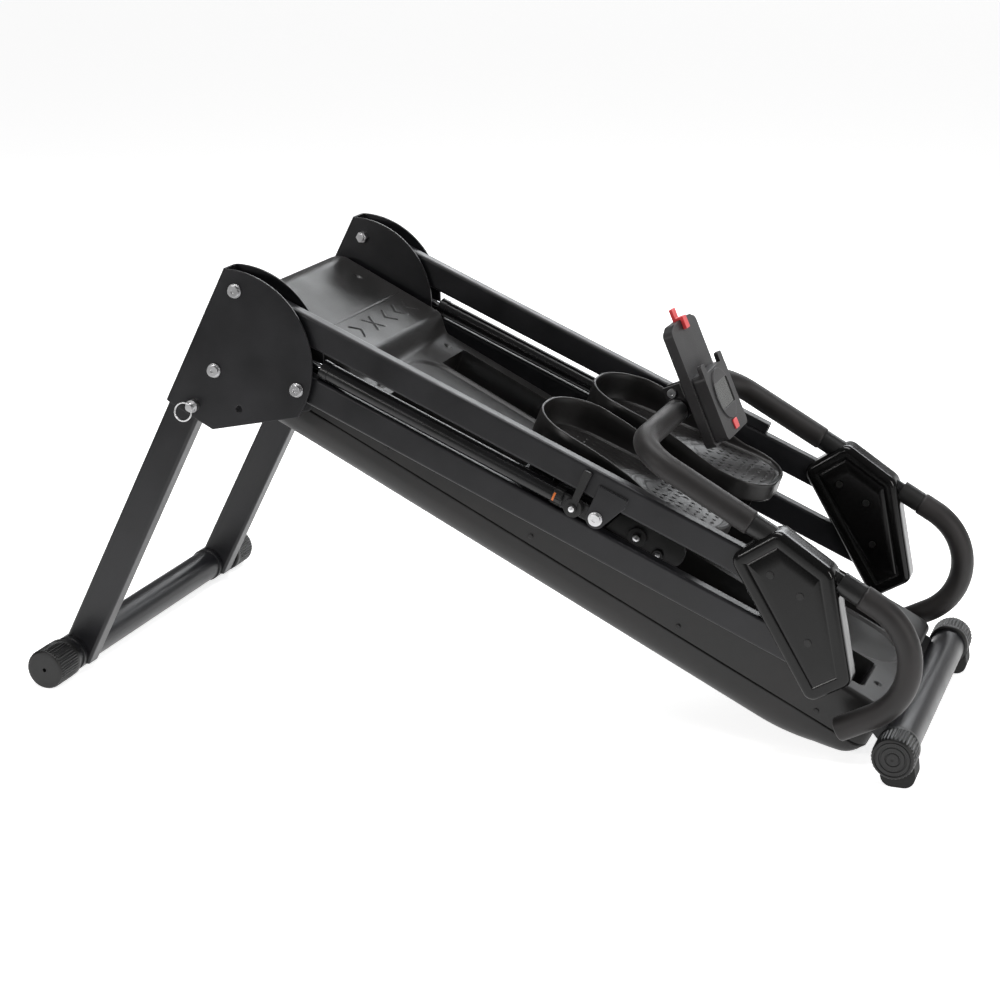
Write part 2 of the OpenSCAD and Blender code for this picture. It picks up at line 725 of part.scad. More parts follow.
// Sliding block on the guide rod, the arm to the toe hinge and the frame under the pedal.
module carriage(s) color("#161618") {
    in_tray() translate([s * pedal_offset, 0, 0]) {
        difference() {
            translate([block_start, -guide_y - block_half, -52])
                cube([block_end - block_start, 2 * block_half, 58]);
            translate([0, -guide_y, guide_level]) rod_x(guide_r + 0.08, 0, 900);
        }
        translate([pedal_pin[0] - 24, -pedal_y - frame_half, 4]) cube([235, 2 * frame_half, 4]);
        slab(-pedal_y - frame_half, -pedal_y - frame_half + 5) frame_side();
        slab(-pedal_y + frame_half - 5, -pedal_y + frame_half) frame_side();
        translate([440, -pedal_y - 15, 6]) cube([24, 30, 60]);
        translate([block_start + 40, -guide_y + block_half - 2, -70]) cube([60, 6, 24]);
        translate([block_start + 40, -guide_y + block_half + 2, -70])
            cube([60, guide_y - block_half - 2 - belt_y - 2.2, 6]);
        rod_y([438.3, 19], 14, -pedal_y - frame_half - 3, -pedal_y - frame_half);
        rod_y([438.3, 19], 6, -pedal_y - frame_half - 7, -pedal_y - frame_half - 3);
        rod_y([475, 12], 8, -pedal_y - frame_half - 3, -pedal_y - frame_half);
    }
    pedal_tray(s) difference() {
        for (y = [-22, 16]) slab(y, y + 6) polygon([[-20, -36], [20, -36], [11, 8], [-11, 8]]);
        rod_y([0, 0], 5.02, -40, 40);
    }
    pedal_tray(s) rod_y([0, 0], 5, -24, 24);
}

module frame_side() polygon(soft([[392, 4], [509, 4], [509, 46], [404, 40]], [1, 18, 18, 10], 10));

module pedal_plan(t) polygon(soft([[t, -pedal_width / 2 + t], [pedal_length - t, -pedal_width / 2 + t + 6],
    [pedal_length - t, pedal_width / 2 - t - 6], [t, pedal_width / 2 - t]],
    [72 - t, 60 - t, 60 - t, 72 - t], 12));

module rim_side() polygon([[-5, -22], [pedal_length + 5, -22], [pedal_length + 5, 5], [230, 9],
    [160, 28], [100, toe_height - 5], [-5, toe_height]]);

// Footbed with its toe cup, hinged at the toe end.
module pedal(s, slope) color("#222226") pedal_tray(s) fall(slope - tray_slope)
    translate([-pedal_back, 0, pedal_drop]) difference() {
        union() {
            difference() {
                intersection() {
                    translate([0, 0, -22]) linear_extrude(90) pedal_plan(0);
                    slab(-100, 100) rim_side();
                }
                linear_extrude(90) pedal_plan(4);
                translate([0, 0, -30]) linear_extrude(26) pedal_plan(4);
            }
            translate([pedal_back, 0, -pedal_drop]) for (y = [-14, 4]) slab(y, y + 10) union() {
                circle(9);
                translate([-9, 0]) square([18, 13]);
            }
        }
        translate([pedal_back, 0, -pedal_drop]) rod_y([0, 0], 5 + fit, -30, 30);
    }

module left_carriage() carriage(-1);
module right_carriage() mirror([0, 1, 0]) carriage(1);
module left_pedal() pedal(-1, left_pedal_slope);
module right_pedal() mirror([0, 1, 0]) pedal(1, right_pedal_slope);

tray_shell();
deck_cover();
chassis();
guide_rods();
drive_belt();
upper_pulley();
lower_pulley();
pulley_bolts();
left_hinge_plate();
right_hinge_plate();
plate_bolts();
front_floor_tube();
front_caps();
front_feet();
cover_screws();
left_leg();
right_leg();
rear_floor_tube();
rear_caps();
lock_pin();
lock_pin_ring();
left_upper_rail();
right_upper_rail();
upper_rail_bushes();
storage_catch();
damper_bolts();
left_lower_rail();
right_lower_rail();
lower_rail_bushes();
left_barrel();
right_barrel();
left_rod();
right_rod();
left_dial();
right_dial();
left_valve_lever();
right_valve_lever();
left_head_outer();
left_head_inner();
right_head_outer();
right_head_inner();
head_screws();
head_pins();
handlebar_tube();
left_grip();
right_grip();
left_end_grip();
right_end_grip();
bar_collars();
console_clamp();
clamp_screw();
console_back();
console_front();
console_screen();
console_button();
phone_clip();
left_carriage();
right_carriage();
left_pedal();
right_pedal();
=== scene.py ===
import math

import bpy
import numpy as np
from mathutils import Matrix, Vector


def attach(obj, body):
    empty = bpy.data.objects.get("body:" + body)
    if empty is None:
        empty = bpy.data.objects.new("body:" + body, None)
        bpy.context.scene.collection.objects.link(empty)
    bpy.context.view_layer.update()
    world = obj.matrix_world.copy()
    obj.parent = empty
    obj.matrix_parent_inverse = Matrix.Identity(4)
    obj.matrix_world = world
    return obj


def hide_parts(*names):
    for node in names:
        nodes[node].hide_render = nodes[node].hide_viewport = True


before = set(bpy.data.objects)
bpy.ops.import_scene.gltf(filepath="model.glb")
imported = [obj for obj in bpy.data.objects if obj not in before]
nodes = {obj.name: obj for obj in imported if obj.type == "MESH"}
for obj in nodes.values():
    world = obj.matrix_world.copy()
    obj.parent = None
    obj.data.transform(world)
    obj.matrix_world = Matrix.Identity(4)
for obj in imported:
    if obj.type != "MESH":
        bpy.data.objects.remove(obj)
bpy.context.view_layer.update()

# ---- Studio: a pale floor that curves up behind the machine, lit by a broad soft light overhead, a long
# one at the front left, an upright one at the right and a cooler one behind that draws the edges of the parts.
floor_x = np.linspace(-14, 14, 29)
floor_s = np.linspace(0, 1, 60)
floor_turn = np.clip(floor_s - 0.6, 0, 1) / 0.4 * np.pi / 2
floor_y = np.where(floor_s < 0.6, -6 + 50 * floor_s, 24 + 6 * np.sin(floor_turn))
floor_z = np.where(floor_s < 0.6, 0, 6 * (1 - np.cos(floor_turn)))
across_count, along_count = len(floor_x), len(floor_s)
floor_points = np.stack([np.tile(floor_x, along_count), np.repeat(floor_y, across_count),
                         np.repeat(floor_z, across_count)], 1)
cell = np.arange((along_count - 1) * across_count).reshape(-1, across_count)[:, :-1].ravel()
floor_cells = np.stack([cell, cell + 1, cell + across_count + 1, cell + across_count], 1)
floor_mesh = bpy.data.meshes.new("studio_floor")
floor_mesh.from_pydata(floor_points.tolist(), [], floor_cells.tolist())
floor_mesh.polygons.foreach_set("use_smooth", np.ones(len(floor_mesh.polygons), bool))
floor = bpy.data.objects.new("studio_floor", floor_mesh)
bpy.context.scene.collection.objects.link(floor)
floor_paint = bpy.data.materials.new("studio_paint")
floor_paint.use_nodes = True
shade_nodes = floor_paint.node_tree.nodes
floor_shader = shade_nodes["Principled BSDF"]
floor_shader.inputs["Emission Strength"].default_value = 0.86
floor_shader.inputs["Roughness"].default_value = 0.85
floor_shader.inputs["Specular IOR Level"].default_value = 0.1
# Painted shade: the floor's colour and glow fall to dark grey in front of the machine, so that its near side
# isn't washed out by the floor's own glow.
shade_place = shade_nodes.new("ShaderNodeTexCoord")
shade_split = shade_nodes.new("ShaderNodeSeparateXYZ")
shade_fall = shade_nodes.new("ShaderNodeMapRange")
shade_fall.interpolation_type = "SMOOTHSTEP"
shade_fall.inputs["From Min"].default_value = -1.75
shade_fall.inputs["From Max"].default_value = -0.85
shade_mix = shade_nodes.new("ShaderNodeMix")
shade_mix.data_type = "RGBA"
shade_mix.inputs["A"].default_value = (0.12, 0.12, 0.12, 1)
shade_mix.inputs["B"].default_value = (0.92, 0.92, 0.92, 1)
shade_link = floor_paint.node_tree.links.new
shade_link(shade_place.outputs["Object"], shade_split.inputs["Vector"])
shade_link(shade_split.outputs["Y"], shade_fall.inputs["Value"])
# Seen straight on it stays pale from every side; the painted shade shows only in the light it throws on the
# machine and in the machine's reflections of it.
shade_seen = shade_nodes.new("ShaderNodeLightPath")
shade_pale = shade_nodes.new("ShaderNodeMath")
shade_pale.operation = "MAXIMUM"
shade_link(shade_fall.outputs["Result"], shade_pale.inputs[0])
shade_link(shade_seen.outputs["Is Camera Ray"], shade_pale.inputs[1])
shade_link(shade_pale.outputs["Value"], shade_mix.inputs["Factor"])
shade_link(shade_mix.outputs["Result"], floor_shader.inputs["Base Color"])
shade_link(shade_mix.outputs["Result"], floor_shader.inputs["Emission Color"])
floor_mesh.materials.append(floor_paint)

world = bpy.data.worlds.new("studio_air")
world.use_nodes = True
air = world.node_tree.nodes["Background"]
air.inputs["Color"].default_value = (1, 1, 1, 1)
# The air is dim where the machine mirrors it, and pale where it is seen past the floor's edge.
air_seen = world.node_tree.nodes.new("ShaderNodeLightPath")
air_strength = world.node_tree.nodes.new("ShaderNodeMapRange")
air_strength.inputs["To Min"].default_value = 0.16
air_strength.inputs["To Max"].default_value = 1.0
world.node_tree.links.new(air_seen.outputs["Is Camera Ray"], air_strength.inputs["Value"])
world.node_tree.links.new(air_strength.outputs["Result"], air.inputs["Strength"])
bpy.context.scene.world = world
bpy.context.scene.view_settings.view_transform = "Standard"


def soft_light(name, place, aim, width, height, power, colour):
    """Rectangular light of width by height metres at place, turned so that it faces aim."""
    lamp = bpy.data.lights.new(name, "AREA")
    lamp.shape = "RECTANGLE"
    lamp.size = width
    lamp.size_y = height
    lamp.energy = power
    lamp.color = colour
    light = bpy.data.objects.new(name, lamp)
    light.location = place
    light.rotation_mode = "QUATERNION"
    light.rotation_quaternion = (Vector(aim) - Vector(place)).to_track_quat("-Z", "Y")
    bpy.context.scene.collection.objects.link(light)


soft_light("overhead", (0.2, 0.2, 3.0), (0.1, 0, 0.3), 2.4, 1.0, 72, (1, 1, 1))
soft_light("front_left", (-1.6, -3.0, 1.4), (0, 0, 0.35), 1.8, 0.3, 34, (1, 0.985, 0.97))
soft_light("front_right", (2.9, -1.4, 1.3), (0.2, 0, 0.3), 0.4, 1.6, 34, (1, 0.98, 0.96))
soft_light("behind", (0.3, 3.0, 1.9), (0, 0, 0.3), 3.2, 0.6, 46, (0.96, 0.98, 1))

camera_aim = Vector((0.0765, 0, 0.27))
camera = bpy.data.objects.new("camera", bpy.data.cameras.new("camera"))
camera.location = (1.0614, -2.8327, 1.2204)
camera.rotation_mode = "QUATERNION"
camera.rotation_quaternion = (camera_aim - camera.location).to_track_quat("-Z", "Y")
camera.data.lens = 77.15
camera.data.sensor_width = 36
camera.data.shift_x = -0.0609
camera.data.shift_y = 0.0029
bpy.context.scene.collection.objects.link(camera)
bpy.context.scene.camera = camera


# ---- Surface groups: the grain that every finish shares, at its own size, with or without softly
# broken edges, and the broad change of colour and roughness that keeps a black surface from looking flat.
def grain_group(name, broken_edges):
    """Node group: fine noise is the grain's height, broad noise runs colour and roughness between two values."""
    group = bpy.data.node_groups.new(name, "ShaderNodeTree")
    for way, kind, socket_names in (
            ("INPUT", "NodeSocketFloat", ("Grain per metre", "Grain depth", "Edge radius", "Smooth", "Rough")),
            ("INPUT", "NodeSocketColor", ("Dark", "Light")),
            ("OUTPUT", "NodeSocketColor", ("Colour",)),
            ("OUTPUT", "NodeSocketFloat", ("Roughness",)),
            ("OUTPUT", "NodeSocketVector", ("Normal",))):
        for socket_name in socket_names:
            group.interface.new_socket(socket_name, in_out=way, socket_type=kind)
    given = group.nodes.new("NodeGroupInput")
    result = group.nodes.new("NodeGroupOutput")
    place = group.nodes.new("ShaderNodeTexCoord")
    fine = group.nodes.new("ShaderNodeTexNoise")
    fine.inputs["Detail"].default_value = 3
    broad = group.nodes.new("ShaderNodeTexNoise")
    broad.inputs["Scale"].default_value = 14
    broad.inputs["Detail"].default_value = 6
    spread = group.nodes.new("ShaderNodeMapRange")
    spread.inputs["From Min"].default_value = 0.3
    spread.inputs["From Max"].default_value = 0.7
    colour = group.nodes.new("ShaderNodeMix")
    colour.data_type = "RGBA"
    rough = group.nodes.new("ShaderNodeMapRange")
    bump = group.nodes.new("ShaderNodeBump")
    bump.inputs["Distance"].default_value = 0.0004
    link = group.links.new
    link(place.outputs["Object"], fine.inputs["Vector"])
    link(place.outputs["Object"], broad.inputs["Vector"])
    link(given.outputs["Grain per metre"], fine.inputs["Scale"])
    link(broad.outputs["Fac"], spread.inputs["Value"])
    link(spread.outputs["Result"], colour.inputs["Factor"])
    link(given.outputs["Dark"], colour.inputs["A"])
    link(given.outputs["Light"], colour.inputs["B"])
    link(spread.outputs["Result"], rough.inputs["Value"])
    link(given.outputs["Smooth"], rough.inputs["To Min"])
    link(given.outputs["Rough"], rough.inputs["To Max"])
    link(given.outputs["Grain depth"], bump.inputs["Strength"])
    link(fine.outputs["Fac"], bump.inputs["Height"])
    if broken_edges:
        edge = group.nodes.new("ShaderNodeBevel")
        edge.samples = 8
        link(given.outputs["Edge radius"], edge.inputs["Radius"])
        link(edge.outputs["Normal"], bump.inputs["Normal"])
    link(colour.outputs["Result"], result.inputs["Colour"])
    link(rough.outputs["Result"], result.inputs["Roughness"])
    link(bump.outputs["Normal"], result.inputs["Normal"])
    return group


grain_with_edges = grain_group("grain_and_broken_edges", True)
grain_alone = grain_group("grain", False)


def finish_of(name, dark, light, smooth, rough, grain_size, depth, edge, metal=0.0, sheen=0.0, gloss=0.34):
    """Material from a grain group: colour runs dark to light and roughness smooth to rough, both 0 to 1.

    grain_size is in millimetres, depth is the grain's share of full relief, and edge is the radius in metres
    by which edges look broken; 0 leaves them as they are."""
    made = bpy.data.materials.new(name)
    made.use_nodes = True
    tree = made.node_tree
    shader = tree.nodes["Principled BSDF"]
    shader.inputs["Metallic"].default_value = metal
    shader.inputs["Specular IOR Level"].default_value = gloss
    shader.inputs["Sheen Weight"].default_value = sheen
    shader.inputs["Sheen Roughness"].default_value = 0.4
    surface = tree.nodes.new("ShaderNodeGroup")
    surface.node_tree = grain_with_edges if edge else grain_alone
    surface.inputs["Dark"].default_value = (*dark, 1)
    surface.inputs["Light"].default_value = (*light, 1)
    surface.inputs["Smooth"].default_value = smooth
    surface.inputs["Rough"].default_value = rough
    surface.inputs["Grain per metre"].default_value = 1000 / grain_size
    surface.inputs["Grain depth"].default_value = depth
    surface.inputs["Edge radius"].default_value = edge
    tree.links.new(surface.outputs["Colour"], shader.inputs["Base Color"])
    tree.links.new(surface.outputs["Roughness"], shader.inputs["Roughness"])
    tree.links.new(surface.outputs["Normal"], shader.inputs["Normal"])
    return made


def dress(finish, *names):
    """Gives CAD nodes their finish."""
    for node_name in names:
        nodes[node_name].data.materials.clear()
        nodes[node_name].data.materials.append(finish)


# ---- Welded steel: hinge plates, arm rails, legs, floor tubes and chassis are bent or drawn steel,
# welded, then powder coated in satin black, which rounds their edges a little.
powder_coat = finish_of("powder_coat", (0.007, 0.007, 0.008), (0.012, 0.012, 0.014),
                        0.3, 0.4, 0.7, 0.14, 0.0016)
dress(powder_coat, "left_hinge_plate", "right_hinge_plate", "left_upper_rail", "right_upper_rail",
      "left_lower_rail", "right_lower_rail", "left_leg", "right_leg", "rear_floor_tube", "front_floor_tube",
      "storage_catch", "chassis")

# ---- Dampers: a painted barrel, a chromed rod, a knurled adjuster and a moulded valve lever.
damper_paint = finish_of("damper_paint", (0.005, 0.005, 0.005), (0.008, 0.008, 0.009),
                         0.22, 0.3, 0.5, 0.04, 0)
hard_chrome = finish_of("hard_chrome", (0.6, 0.61, 0.63), (0.7, 0.71, 0.73),
                        0.1, 0.2, 0.4, 0.02, 0, metal=1.0)
zinc_plate = finish_of("zinc_plate", (0.5, 0.5, 0.51), (0.68, 0.68, 0.69),
                       0.24, 0.38, 0.3, 0.12, 0.0005, metal=1.0)
lever_plastic = finish_of("lever_plastic", (0.007, 0.007, 0.007), (0.013, 0.013, 0.013),
                          0.36, 0.5, 0.4, 0.1, 0.0008)
dress(damper_paint, "left_barrel", "right_barrel")
dress(hard_chrome, "left_rod", "right_rod", "guide_rods")
dress(lever_plastic, "left_dial", "right_dial", "left_valve_lever", "right_valve_lever", "upper_rail_bushes",
      "lower_rail_bushes", "upper_pulley", "lower_pulley")
dress(zinc_plate, "plate_bolts", "damper_bolts", "pulley_bolts", "lock_pin", "lock_pin_ring",
      "head_pins", "clamp_screw")

# ---- Rubber: the two front feet and the drive belt are black moulded rubber.
black_rubber = finish_of("black_rubber", (0.006, 0.006, 0.006), (0.012, 0.012, 0.012),
                         0.6, 0.8, 0.6, 0.3, 0.001, gloss=0.35)
dress(black_rubber, "front_feet", "drive_belt")

# ---- Console: fine-grained moulded plastic with a grey display window, a red button and a red clip.
console_plastic = finish_of("console_plastic", (0.016, 0.015, 0.016), (0.023, 0.022, 0.023),
                            0.38, 0.48, 0.35, 0.12, 0.0014)
red_plastic = finish_of("red_plastic", (0.62, 0.045, 0.05), (0.7, 0.065, 0.07), 0.28, 0.36, 0.5, 0.05, 0.0012)
display_glass = finish_of("display_glass", (0.03, 0.031, 0.029), (0.04, 0.041, 0.038),
                          0.22, 0.3, 0.5, 0.02, 0.0004)
dress(console_plastic, "console_front", "console_back", "console_clamp")
dress(red_plastic, "console_button", "phone_clip")
dress(display_glass, "console_screen")

# ---- Covers, carriages, caps, pedals and grips: satin mouldings, glossy end covers and closed-cell foam.
deck_plastic = finish_of("deck_plastic", (0.008, 0.008, 0.008), (0.015, 0.014, 0.014),
                         0.34, 0.46, 0.8, 0.2, 0)
carriage_plastic = finish_of("carriage_plastic", (0.006, 0.006, 0.006), (0.011, 0.011, 0.011),
                             0.34, 0.46, 0.8, 0.2, 0.002)
cap_plastic = finish_of("cap_plastic", (0.006, 0.006, 0.006), (0.012, 0.012, 0.012), 0.32, 0.44, 0.6, 0.12, 0)
pedal_plastic = finish_of("pedal_plastic", (0.009, 0.0085, 0.0085), (0.017, 0.016, 0.016),
                          0.3, 0.42, 0.6, 0.16, 0)
gloss_cover = finish_of("gloss_cover", (0.002, 0.002, 0.002), (0.004, 0.004, 0.004),
                        0.15, 0.22, 0.8, 0.012, 0, gloss=0.26)
grip_foam = finish_of("grip_foam", (0.009, 0.008, 0.008), (0.016, 0.014, 0.014),
                      0.46, 0.58, 0.45, 0.3, 0, sheen=0.1)


def darken_hollows(finish):
    """Painted shade in pits and holes: the piece's own attribute, 1 at their bottom, mixes the colour to near
    black.
    """
    tree = finish.node_tree
    shader = tree.nodes["Principled BSDF"]
    depth = tree.nodes.new("ShaderNodeAttribute")
    depth.attribute_name = "hollow"
    mix = tree.nodes.new("ShaderNodeMix")
    mix.data_type = "RGBA"
    mix.inputs["B"].default_value = (0.0008, 0.0008, 0.0008, 1)
    surface_colour = shader.inputs["Base Color"].links[0].from_socket
    tree.links.new(depth.outputs["Fac"], mix.inputs["Factor"])
    tree.links.new(surface_colour, mix.inputs["A"])
    tree.links.new(mix.outputs["Result"], shader.inputs["Base Color"])


darken_hollows(deck_plastic)
darken_hollows(pedal_plastic)
dress(deck_plastic, "tray_shell", "deck_cover")
dress(carriage_plastic, "left_carriage", "right_carriage", "cover_screws")
dress(damper_paint, "handlebar_tube")
dress(cap_plastic, "rear_caps", "front_caps", "bar_collars", "head_screws")
dress(pedal_plastic, "left_pedal", "right_pedal")
dress(gloss_cover, "left_head_outer", "left_head_inner", "right_head_outer", "right_head_inner")
dress(grip_foam, "left_grip", "right_grip", "left_end_grip", "right_end_grip")


def skin(name, points, finish, wrap_rows=False, wrap_columns=False, keep=None, smooth=40):
    """Mesh through a grid of points (rows, columns, 3), in metres; a wrapped direction closes on itself."""
    rows, columns = points.shape[:2]
    index = np.arange(rows * columns).reshape(rows, columns)
    if wrap_rows:
        index = np.concatenate([index, index[:1]], 0)
    if wrap_columns:
        index = np.concatenate([index, index[:, :1]], 1)
    quads = np.stack([index[:-1, :-1], index[:-1, 1:], index[1:, 1:], index[1:, :-1]], -1).reshape(-1, 4)
    if keep is not None:
        quads = quads[keep.ravel()]
    mesh = bpy.data.meshes.new(name)
    mesh.vertices.add(rows * columns)
    mesh.vertices.foreach_set("co", points.reshape(-1).astype(np.float32))
    mesh.loops.add(len(quads) * 4)
    mesh.loops.foreach_set("vertex_index", quads.reshape(-1).astype(np.int32))
    mesh.polygons.add(len(quads))
    mesh.polygons.foreach_set("loop_start", np.arange(0, len(quads) * 4, 4, dtype=np.int32))
    mesh.polygons.foreach_set("loop_total", np.full(len(quads), 4, dtype=np.int32))
    mesh.update(calc_edges=True)
    mesh.validate()
    mesh.materials.append(finish)
    mesh.shade_smooth()
    mesh.set_sharp_from_angle(angle=math.radians(smooth))
    piece = bpy.data.objects.new(name, mesh)
    bpy.context.scene.collection.objects.link(piece)
    return piece


def mark_hollows(piece, amount):
    """Writes how far each point of the piece lies down a pit or a hole, 0 to 1, for its finish to darken with
    painted shade.
    """
    hollow = piece.data.attributes.new("hollow", "FLOAT", "POINT")
    hollow.data.foreach_set("value", amount.ravel().astype(np.float32))


tray_origin = (-150.5, 459)
tray_slope = 26.5


def sloped(origin, angle, local):
    """Points in millimetres along, across and above a slope that falls by angle degrees towards +X, in metres."""
    a = math.radians(angle)
    return np.stack([origin[0] + local[..., 0] * math.cos(a) + local[..., 2] * math.sin(a), local[..., 1],
                     origin[1] - local[..., 0] * math.sin(a) + local[..., 2] * math.cos(a)], -1) / 1000


# ---- Tube caps: ribbed plastic plugs pushed over the floor tubes. The rear ones have a flat face with
# a small hole, and the front ones a raised rim and two rings.
def ribbed_cap(name, axis, face_y, length, ribs, centre_hole, face_rings):
    """Profile turned about the tube: face, rounded rim and side, the side's radius rippled by its ribs.

    Each point of the profile is its radius, its depth behind the face and its share of the ripple, in mm."""
    turn = np.linspace(0, 2 * math.pi, 240, endpoint=False)
    profile = [(0.2, centre_hole, 0), (2.2, centre_hole, 0), (2.6, centre_hole / 8, 0), (3.2, 0, 0)]
    profile += face_rings
    profile += [(26.5, 0, 0), (27.7, 0.35, 0), (28.4, 1.1, 0), (28.9, 2.2, 0.2), (29.2, 4, 1), (29.2, 12, 1),
                (29.2, 20, 1), (29.2, 28, 1)]
    profile += [(r, length - back, ripple) for r, back, ripple in (
        (29.2, 12, 1), (29.2, 9, 0.2), (29.4, 8, 0), (29.6, 6, 0), (29.6, 1.2, 0), (28.8, 0.2, 0), (25.3, 0, 0),
        (25.2, 4, 0))]
    radius, depth, ripple = np.array(profile).T[:, :, None]
    ripples = radius + ripple * 0.75 * np.clip(np.cos(ribs * turn) * 1.6, -1, 1)
    side = 1 if face_y < 0 else -1
    across = np.broadcast_to(face_y + side * depth, ripples.shape)
    points = np.stack([axis[0] + ripples * np.cos(side * turn), across, axis[1] + ripples * np.sin(side * turn)],
                      -1) / 1000
    return skin(name, points, cap_plastic, wrap_columns=True, smooth=50)


for side_name, side in (("left", -1), ("right", 1)):
    rear_cap = ribbed_cap(side_name + "_rear_cap", (-623.5, 30), side * 307, 55, 44, 6.5,
                          [(9, 0, 0), (18, 0, 0), (22, 0, 0)])
    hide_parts("rear_caps")
    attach(rear_cap, "rear_legs")
    front_cap = ribbed_cap(side_name + "_front_cap", (623.5, 44), side * 242, 46, 36, 0.5,
                           [(8, 0.2, 0), (8.6, 1.4, 0), (10, 1.4, 0), (10.6, 0.2, 0), (16, 0.2, 0),
                            (16.6, 1.4, 0), (18.4, 1.4, 0), (19, 0.2, 0), (23, 0.2, 0), (23.6, 1.6, 0),
                            (25, 1.6, 0), (25.4, 0, 0)])
    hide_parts("front_caps")
    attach(front_cap, "root")


# ---- Grips: closed-cell foam tubes pushed over the bent handlebar; their cut ends are rounded.
def foam_sleeve(name, path, radius, body):
    """Circle carried along the path; over the last 3.5 mm at each end its radius follows a quarter circle, and
    the end rings close down on the tube inside."""
    round_end = 3.5
    tube_radius = 11.05
    step = np.linalg.norm(np.diff(path, axis=0), axis=1)
    run = np.concatenate([[0], np.cumsum(step)])
    s = np.concatenate([[0, 0, 0.5, 1.2, 2.2, 3.5], np.arange(6, run[-1] - 5, 3.0),
                        run[-1] - np.array([3.5, 2.2, 1.2, 0.5, 0, 0])])
    centre = np.stack([np.interp(s, run, path[:, i]) for i in range(3)], 1)
    ahead = np.stack([np.interp(np.clip(s + 1.5, 0, run[-1]), run, path[:, i]) for i in range(3)], 1)
    behind = np.stack([np.interp(np.clip(s - 1.5, 0, run[-1]), run, path[:, i]) for i in range(3)], 1)
    tangent = (ahead - behind) / np.linalg.norm(ahead - behind, axis=1)[:, None]
    guide = np.broadcast_to(np.array([0.3, 0.2, 0.93]), tangent.shape)
    first = np.cross(tangent, guide)
    first /= np.linalg.norm(first, axis=1)[:, None]
    second = np.cross(tangent, first)
    end = np.minimum(s, run[-1] - s)
    r = radius - round_end + np.sqrt(round_end ** 2 - np.clip(round_end - end, 0, round_end) ** 2)
    r[0] = r[-1] = tube_radius
    turn = np.linspace(0, 2 * math.pi, 56, endpoint=False)
    points = centre[:, None] + r[:, None, None] * (first[:, None] * np.cos(turn)[:, None]
                                                  + second[:, None] * np.sin(turn)[:, None])
    sleeve = skin(name, points / 1000, grip_foam, wrap_columns=True)
    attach(sleeve, body)
    return sleeve


def bar_points(down, across, below):
    """Places in millimetres from the handlebar's cross part: down its leg, across, and square below the leg."""
    a = math.radians(29.1)
    along = 256.5 + down * math.cos(a) - below * math.sin(a)
    height = 431 - down * math.sin(a) - below * math.cos(a)
    return np.stack([along, np.broadcast_to(across, along.shape), height], 1)


corner = np.linspace(0, math.pi / 2, 40)
bend = np.linspace(0, math.radians(122.6), 90)
grip_radius = 17
leg_across = -215.0
corner_radius = 55
bend_radius = 89
bend_start = 381.5
for side_name, side in (("left", -1), ("right", 1)):
    cross_run = np.arange(-20, -160, -4.0)
    grip_path = np.concatenate([
        bar_points(0 * cross_run, cross_run, 0),
        bar_points(corner_radius - corner_radius * np.cos(corner), -160 - corner_radius * np.sin(corner), 0),
        bar_points(np.append(np.arange(58, 184.6, 4.0), 184.5), leg_across, 0)])
    grip_path[:, 1] *= -side
    grip = foam_sleeve(side_name + "_foam_grip", grip_path, grip_radius, "head")
    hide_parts(side_name + "_grip")
    tail = np.arange(3, 52.1, 3.5)
    end_path = np.concatenate([
        bar_points(np.arange(357.1, bend_start, 4.0), leg_across, 0),
        bar_points(bend_start + bend_radius * np.sin(bend), leg_across, bend_radius - bend_radius * np.cos(bend)),
        bar_points(bend_start + bend_radius * math.sin(bend[-1]) + tail * math.cos(bend[-1]), leg_across,
                   bend_radius - bend_radius * math.cos(bend[-1]) + tail * math.sin(bend[-1]))])
    end_path[:, 1] *= -side
    end_grip = foam_sleeve(side_name + "_foam_end", end_path, grip_radius, "head")
    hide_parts(side_name + "_end_grip")


# ---- End covers: glossy shells screwed together over the arm pivots, with a soft edge, a sunk
# channel that follows the outline and three screw caps.
def corner_bisectors(corners):
    """Unit vectors from each corner to its two neighbours, half the angle between them, and the bisector."""
    to_last = np.roll(corners, 1, 0) - corners
    to_next = np.roll(corners, -1, 0) - corners
    to_last /= np.linalg.norm(to_last, axis=1)[:, None]
    to_next /= np.linalg.norm(to_next, axis=1)[:, None]
    half = np.arccos(np.clip((to_last * to_next).sum(1), -1, 1))[:, None] / 2
    bisector = to_last + to_next
    bisector /= np.linalg.norm(bisector, axis=1)[:, None]
    return to_last, to_next, half, bisector


def rounded_outline(corners, radii, arc=8, run=10):
    """Closed outline with each corner replaced by an arc that touches both sides, straight runs cut evenly."""
    corners = np.asarray(corners, float)
    radii = np.maximum(np.asarray(radii, float), 0.4)[:, None]
    to_last, to_next, half, bisector = corner_bisectors(corners)
    centre = corners + bisector * radii / np.sin(half)
    enter = corners + to_last * radii / np.tan(half)
    leave = corners + to_next * radii / np.tan(half)
    start = np.arctan2(enter[:, 1] - centre[:, 1], enter[:, 0] - centre[:, 0])
    stop = np.arctan2(leave[:, 1] - centre[:, 1], leave[:, 0] - centre[:, 0])
    swing = (stop - start + 3 * math.pi) % (2 * math.pi) - math.pi
    t = start[:, None] + swing[:, None] * np.linspace(0, 1, arc + 1)
    arcs = centre[:, None] + radii[:, None] * np.stack([np.cos(t), np.sin(t)], -1)
    f = np.linspace(0, 1, run + 2)[1:-1, None]
    straights = leave[:, None] * (1 - f) + np.roll(enter, -1, 0)[:, None] * f
    return np.concatenate([arcs, straights], 1).reshape(-1, 2)


def inner_corners(corners, inset):
    """Corners of the outline moved in by inset from every side, along each corner's bisector."""
    corners = np.asarray(corners, float)
    half, bisector = corner_bisectors(corners)[2:]
    return corners + bisector * inset / np.sin(half)


head_corners = np.array([(457, 342), (391, 297), (505, 103), (563, 138), (533, 292)])
head_radii = np.array([16, 16, 15, 14, 22])
